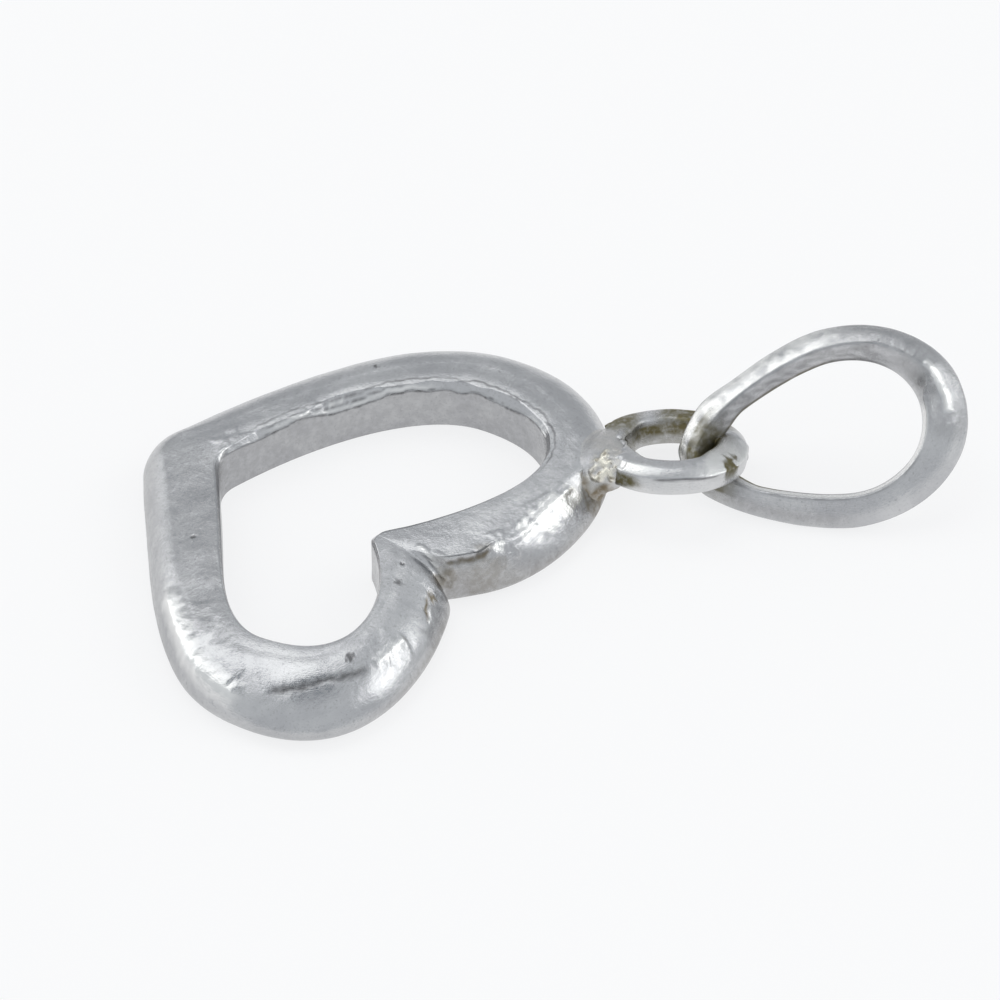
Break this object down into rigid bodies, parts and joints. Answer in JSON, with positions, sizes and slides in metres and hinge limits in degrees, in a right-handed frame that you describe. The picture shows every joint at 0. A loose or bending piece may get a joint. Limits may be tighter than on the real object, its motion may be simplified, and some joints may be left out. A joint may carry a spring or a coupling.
{
  "type": "open-heart pendant",
  "caption": "Flat-backed metal pendant in the shape of an open heart, with an eyelet soldered to one lobe and a loose teardrop bail for a chain.",
  "frame": {"origin": "On the flat back of the heart, in the middle of the band at the heart's point.", "axes": "+X across the heart towards the lobe without the eyelet, +Y from the heart's point up to its lobes, +Z out of its front; the flat back lies at z = 0."},
  "size_m": [0.0256, 0.0288, 0.0057],
  "materials": {
    "heart_silver": "worn, half-polished silver",
    "wire_silver": "worn, half-polished silver",
    "solder": "rough, yellowed solder"
  },
  "bodies": {
    "pendant": {"heart_frame": "heart_silver", "eyelet_ring": "wire_silver", "solder_joint": "solder"},
    "bail": {"bail_loop": "wire_silver"}
  },
  "joints": [
    {"name": "bail_turn", "type": "hinge", "parent": "pendant", "child": "bail", "pos_m": [-0.00811, 0.01787, 0.00143], "axis": [-0.0109, 0.9802, -0.1979], "range_deg": [0, 70]}
  ]
}
